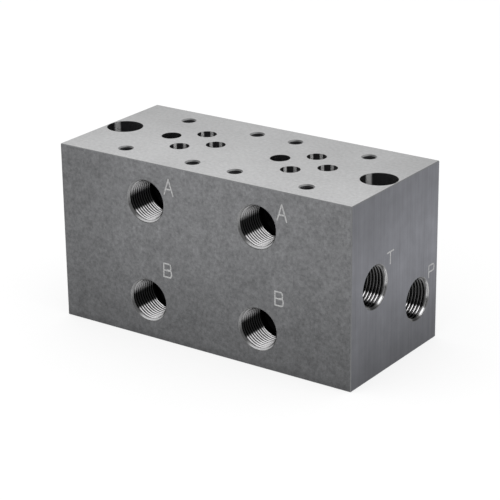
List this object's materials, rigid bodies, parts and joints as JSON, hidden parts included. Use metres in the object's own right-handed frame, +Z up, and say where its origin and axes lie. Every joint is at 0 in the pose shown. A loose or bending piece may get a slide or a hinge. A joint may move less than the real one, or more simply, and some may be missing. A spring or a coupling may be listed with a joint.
{
  "type": "hydraulic manifold block",
  "caption": "Rectangular steel manifold block that carries directional valves side by side on its top face, with threaded oil ports in the front and in both ends.",
  "frame": {"origin": "middle of the base", "axes": "+X along the block, +Y from the front face with the side ports to the back face, +Z up to the valve face"},
  "size_m": [0.13, 0.06, 0.07],
  "materials": {
    "ground_steel": "bare milled and surface-ground steel, satin, with fine lines along the length"
  },
  "bodies": {
    "root": {"manifold_block": "ground_steel"}
  },
  "joints": []
}
